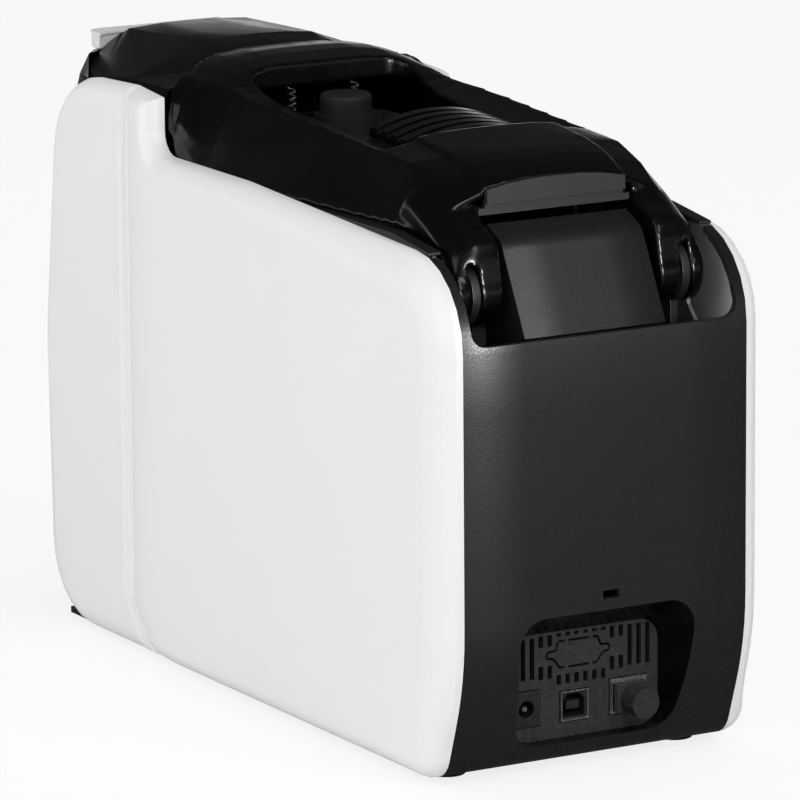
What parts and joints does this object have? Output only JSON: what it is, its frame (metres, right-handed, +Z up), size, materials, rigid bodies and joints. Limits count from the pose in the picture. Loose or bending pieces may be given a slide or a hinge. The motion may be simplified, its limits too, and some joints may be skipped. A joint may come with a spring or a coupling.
{
  "type": "id card printer",
  "caption": "Desktop printer for plastic ID cards: white side covers, black hinged lid with a thumb recess, front card door and rear sockets.",
  "frame": {"origin": "centre of the bounding box's bottom, on the table under the machine", "axes": "+Z up; +Y points to the rear face with the sockets, so the card door faces -Y; +X is the side with the drive gears"},
  "size_m": [0.14, 0.363, 0.241],
  "materials": {
    "white_shell": "satin, lightly textured",
    "gloss_black": "high gloss",
    "textured_black": "fine spark texture",
    "matte_black": "matte",
    "dark_grey": "matte",
    "plate_grey": "matte powder coat",
    "steel": "bright zinc",
    "nickel": "satin nickel",
    "rubber": "matte",
    "board": "solder mask",
    "gear_white": "satin",
    "brass": "machined",
    "light_guide": "milky, translucent",
    "display": "smoked, gloss",
    "ceramic": "glazed ceramic"
  },
  "bodies": {
    "housing": {"right_cover": "white_shell", "left_cover": "white_shell", "base_tray": "textured_black", "rear_panel": "textured_black", "front_cap": "gloss_black", "front_bezel": "gloss_black", "top_frame": "matte_black", "hinge_shield": "textured_black", "hinge_bracket": "matte_black", "hinge_pins": "steel", "right_frame": "steel", "left_frame": "steel", "feet": "rubber", "screws": "steel", "io_plate": "plate_grey", "main_board": "board", "data_port_shell": "nickel", "data_port_insert": "matte_black", "network_port": "nickel", "power_jack": "matte_black", "jack_pin": "nickel", "door_pin": "steel", "input_hopper": "dark_grey", "output_tray": "matte_black", "display_window": "display", "light_ring": "light_guide", "idler_stubs": "steel", "drive_motor": "matte_black"},
    "lid": {"lid": "gloss_black", "lid_liner": "dark_grey", "grip_insert": "gloss_black", "latch_axle": "steel", "latch_springs": "nickel", "head_carrier": "dark_grey", "head_springs": "nickel"},
    "release_button": {"release_button": "gloss_black"},
    "latch_lever": {"latch_lever": "steel"},
    "print_head": {"print_head": "ceramic"},
    "input_door": {"input_door": "gloss_black"},
    "card_weight": {"card_weight": "dark_grey"},
    "dust_plug": {"dust_plug": "rubber"},
    "power_button": {"power_button": "dark_grey"},
    "feed_button": {"feed_button": "dark_grey"},
    "stop_button": {"stop_button": "dark_grey"},
    "supply_spool": {"supply_spool": "dark_grey"},
    "takeup_spool": {"takeup_spool": "dark_grey"},
    "pick_roller": {"pick_shaft": "steel", "pick_tyre": "rubber", "pick_gear": "gear_white"},
    "feed_roller": {"feed_shaft": "steel", "feed_tyre": "rubber", "feed_gear": "gear_white"},
    "platen_roller": {"platen_shaft": "steel", "platen_tyre": "rubber", "platen_gear": "gear_white"},
    "front_idler": {"front_idler": "gear_white"},
    "rear_idler": {"rear_idler": "gear_white"},
    "drive_pinion": {"drive_pinion": "brass"}
  },
  "joints": [
    {"name": "lid_hinge", "type": "hinge", "parent": "housing", "child": "lid", "pos_m": [0, 0.1535, 0.18], "axis": [-1, 0, 0], "range_deg": [0, 80]},
    {"name": "button_press", "type": "slide", "parent": "lid", "child": "release_button", "axis": [0, 0, -1], "range_m": [0, 0.002], "stiffness_N_per_m": 600},
    {"name": "latch_pivot", "type": "hinge", "parent": "lid", "child": "latch_lever", "pos_m": [0, -0.0205, 0.2131], "axis": [-1, 0, 0], "range_deg": [0, 9.97], "deforming": ["latch_springs"]},
    {"name": "head_float", "type": "slide", "parent": "lid", "child": "print_head", "axis": [0, 0, 1], "range_m": [0, 0.002], "stiffness_N_per_m": 900, "deforming": ["head_springs"]},
    {"name": "door_hinge", "type": "hinge", "parent": "housing", "child": "input_door", "pos_m": [0, -0.1564, 0.129], "axis": [1, 0, 0], "range_deg": [0, 70]},
    {"name": "weight_lift", "type": "slide", "parent": "housing", "child": "card_weight", "axis": [0, 0, 1], "range_m": [0, 0.06]},
    {"name": "plug_pull", "type": "slide", "parent": "housing", "child": "dust_plug", "axis": [0, 1, 0], "range_m": [0, 0.012]},
    {"name": "power_press", "type": "slide", "parent": "housing", "child": "power_button", "axis": [0, 0.7974, -0.6034], "range_m": [0, 0.0008], "stiffness_N_per_m": 900},
    {"name": "feed_press", "type": "slide", "parent": "housing", "child": "feed_button", "axis": [0, 0.7974, -0.6034], "range_m": [0, 0.0008], "stiffness_N_per_m": 900},
    {"name": "stop_press", "type": "slide", "parent": "housing", "child": "stop_button", "axis": [0, 0.7974, -0.6034], "range_m": [0, 0.0008], "stiffness_N_per_m": 900},
    {"name": "supply_spin", "type": "hinge", "parent": "housing", "child": "supply_spool", "pos_m": [0, 0.075, 0.165], "axis": [1, 0, 0], "continuous": true},
    {"name": "takeup_spin", "type": "hinge", "parent": "housing", "child": "takeup_spool", "pos_m": [0, -0.005, 0.165], "axis": [1, 0, 0], "continuous": true},
    {"name": "platen_spin", "type": "hinge", "parent": "housing", "child": "platen_roller", "pos_m": [0, 0.035, 0.128], "axis": [1, 0, 0], "continuous": true},
    {"name": "feed_spin", "type": "hinge", "parent": "housing", "child": "feed_roller", "pos_m": [0, -0.02, 0.128], "axis": [1, 0, 0], "continuous": true},
    {"name": "pick_spin", "type": "hinge", "parent": "housing", "child": "pick_roller", "pos_m": [0, -0.075, 0.128], "axis": [1, 0, 0], "continuous": true},
    {"name": "rear_idler_spin", "type": "hinge", "parent": "housing", "child": "rear_idler", "pos_m": [0, 0.0075, 0.128], "axis": [1, 0, 0], "continuous": true},
    {"name": "front_idler_spin", "type": "hinge", "parent": "housing", "child": "front_idler", "pos_m": [0, -0.0475, 0.128], "axis": [1, 0, 0], "continuous": true},
    {"name": "pinion_spin", "type": "hinge", "parent": "housing", "child": "drive_pinion", "pos_m": [0, 0.0075, 0.1025], "axis": [1, 0, 0], "continuous": true}
  ],
  "couplings": [
    {"joint": "latch_pivot", "follows": "button_press", "rad_per_m": 87},
    {"joint": "feed_spin", "follows": "platen_spin", "ratio": 1},
    {"joint": "pick_spin", "follows": "platen_spin", "ratio": 1},
    {"joint": "rear_idler_spin", "follows": "platen_spin", "ratio": -0.41026},
    {"joint": "front_idler_spin", "follows": "platen_spin", "ratio": -0.41026},
    {"joint": "pinion_spin", "follows": "platen_spin", "ratio": 1.3333}
  ]
}
